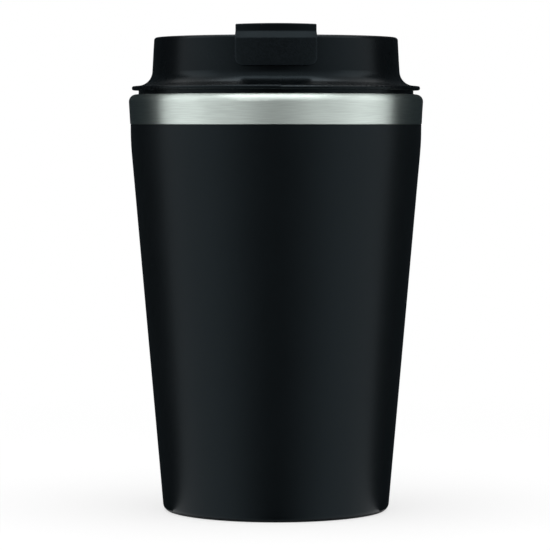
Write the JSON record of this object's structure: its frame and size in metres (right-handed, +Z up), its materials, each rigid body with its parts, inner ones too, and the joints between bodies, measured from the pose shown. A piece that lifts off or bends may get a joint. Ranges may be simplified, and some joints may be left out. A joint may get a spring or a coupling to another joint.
{
  "type": "insulated tumbler with lid",
  "caption": "Tapered double-wall steel tumbler with a coated outside, a bare band under the mouth and a screw lid with a flip tab over the drinking hole.",
  "frame": {"origin": "centre of the foot ring, on the surface the tumbler stands on", "axes": "+Z up along the tumbler's axis, -Y towards the flip tab and the drinking hole, +X to the right of someone who faces the tab"},
  "size_m": [0.0882, 0.0882, 0.1452],
  "materials": {
    "band_steel": "fine horizontal brushing",
    "coat": "satin black powder coat",
    "liner_steel": "fine turned, satin",
    "base_steel": "pressed, satin",
    "cover_steel": "spun",
    "seal_glass": "fused",
    "getter_powder": "pressed powder",
    "strap_steel": "plain strip",
    "lid_plastic": "satin moulded polypropylene",
    "plug_plastic": "satin moulded polypropylene",
    "tab_plastic": "fine grained moulded polypropylene",
    "silicone": "soft matt silicone",
    "pin_steel": "drawn pin"
  },
  "bodies": {
    "cup": {"outer_shell": "band_steel", "powder_coat": "coat", "inner_liner": "liner_steel", "outer_base": "base_steel", "base_cover": "cover_steel", "vacuum_seal_bead": "seal_glass", "getter_pellet": "getter_powder", "getter_holder": "strap_steel"},
    "sealing_ring": {"lid_gasket": "silicone"},
    "lid": {"lid_body": "lid_plastic", "lid_plug": "plug_plastic", "hinge_pin": "pin_steel"},
    "tab": {"flip_tab": "tab_plastic", "spout_stopper": "silicone", "vent_stopper": "silicone"}
  },
  "joints": [
    {"name": "lid_lift", "type": "slide", "parent": "cup", "child": "sealing_ring", "axis": [0, 0, 1], "range_m": [0, 0.0301]},
    {"name": "lid_turn", "type": "hinge", "parent": "sealing_ring", "child": "lid", "pos_m": [0, 0, 0.12], "axis": [0, 0, 1], "range_deg": [0, 1080]},
    {"name": "tab_flip", "type": "hinge", "parent": "lid", "child": "tab", "pos_m": [0, 0.009, 0.1412], "axis": [-1, 0, 0], "range_deg": [0, 110]}
  ],
  "couplings": [
    {"joint": "lid_lift", "follows": "lid_turn", "m_per_rad": 0.0015915}
  ]
}
